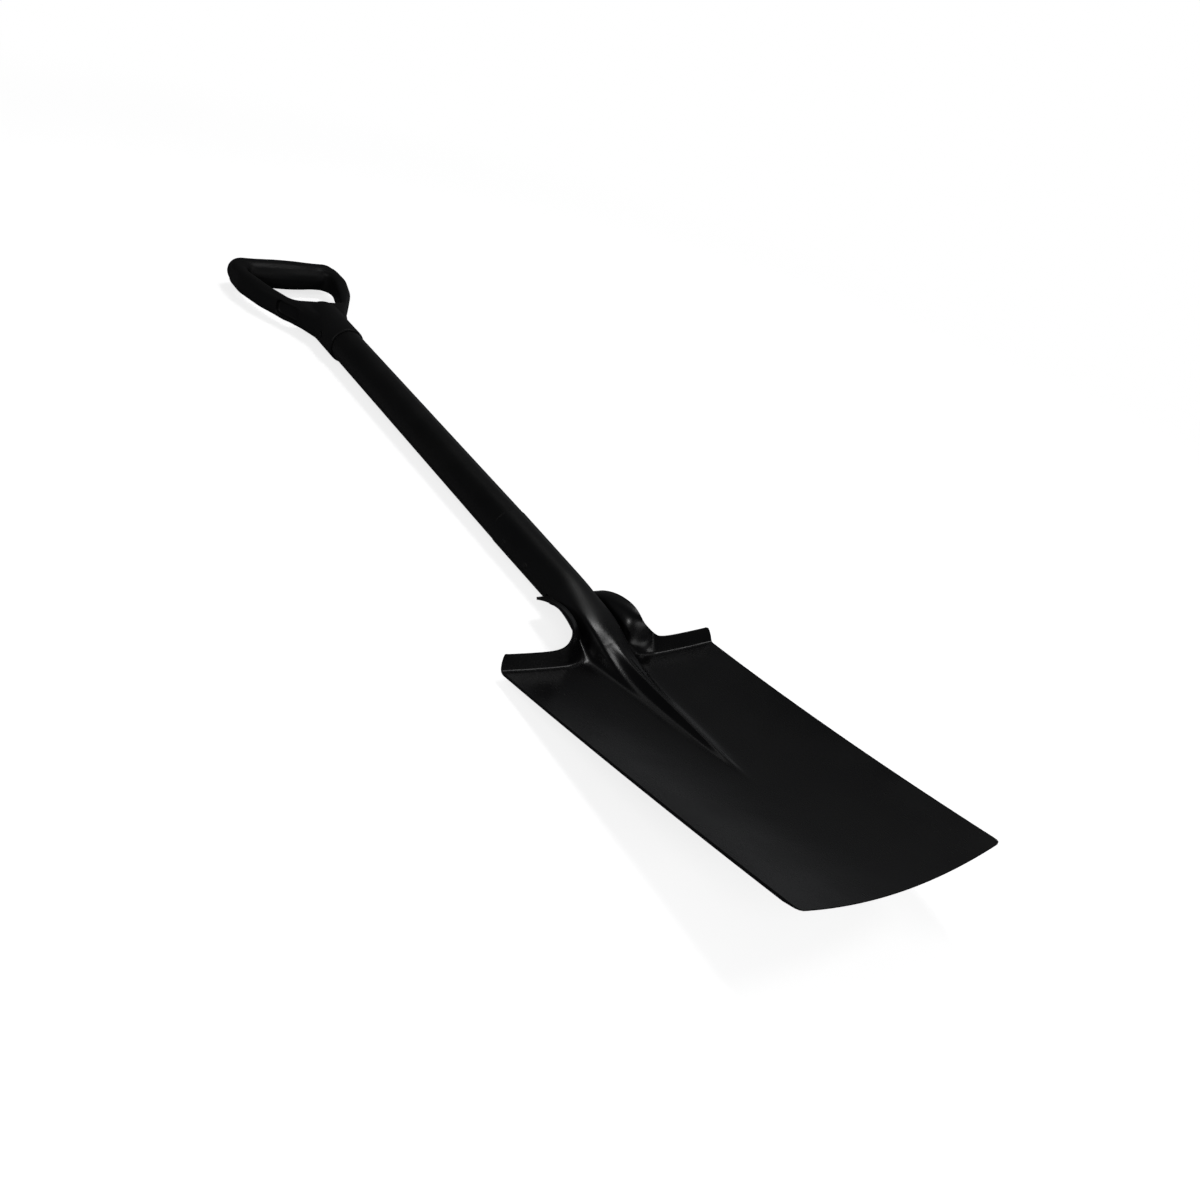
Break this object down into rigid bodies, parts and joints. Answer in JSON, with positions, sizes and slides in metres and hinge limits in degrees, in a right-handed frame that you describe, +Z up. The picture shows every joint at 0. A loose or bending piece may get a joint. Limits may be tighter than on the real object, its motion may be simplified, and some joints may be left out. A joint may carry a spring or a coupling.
{
  "type": "digging spade",
  "caption": "Black digging spade: flat pressed steel head with turned treads and ridged socket, straight sleeved shaft and closed D grip, lying face up.",
  "frame": {"origin": "middle of the footprint on the ground, with the spade lying on its back, face up", "axes": "+Y from the cutting edge towards the grip, +X to the right seen from above with the grip at the top, +Z up"},
  "size_m": [0.1886, 0.9822, 0.064],
  "materials": {
    "head_enamel": "satin black enamel",
    "tube_steel": "bare drawn tube",
    "sleeve_plastic": "satin black plastic",
    "plug_plastic": "matte black plastic",
    "grip_moulding": "gloss black plastic",
    "rivet_paint": "black painted steel"
  },
  "bodies": {
    "root": {"pressed_head": "head_enamel", "shaft_tube": "tube_steel", "shaft_sleeve": "sleeve_plastic", "shaft_end_plug": "plug_plastic", "d_grip": "grip_moulding", "socket_rivet_lower": "rivet_paint", "socket_rivet_upper": "rivet_paint", "grip_rivet": "rivet_paint"}
  },
  "joints": []
}
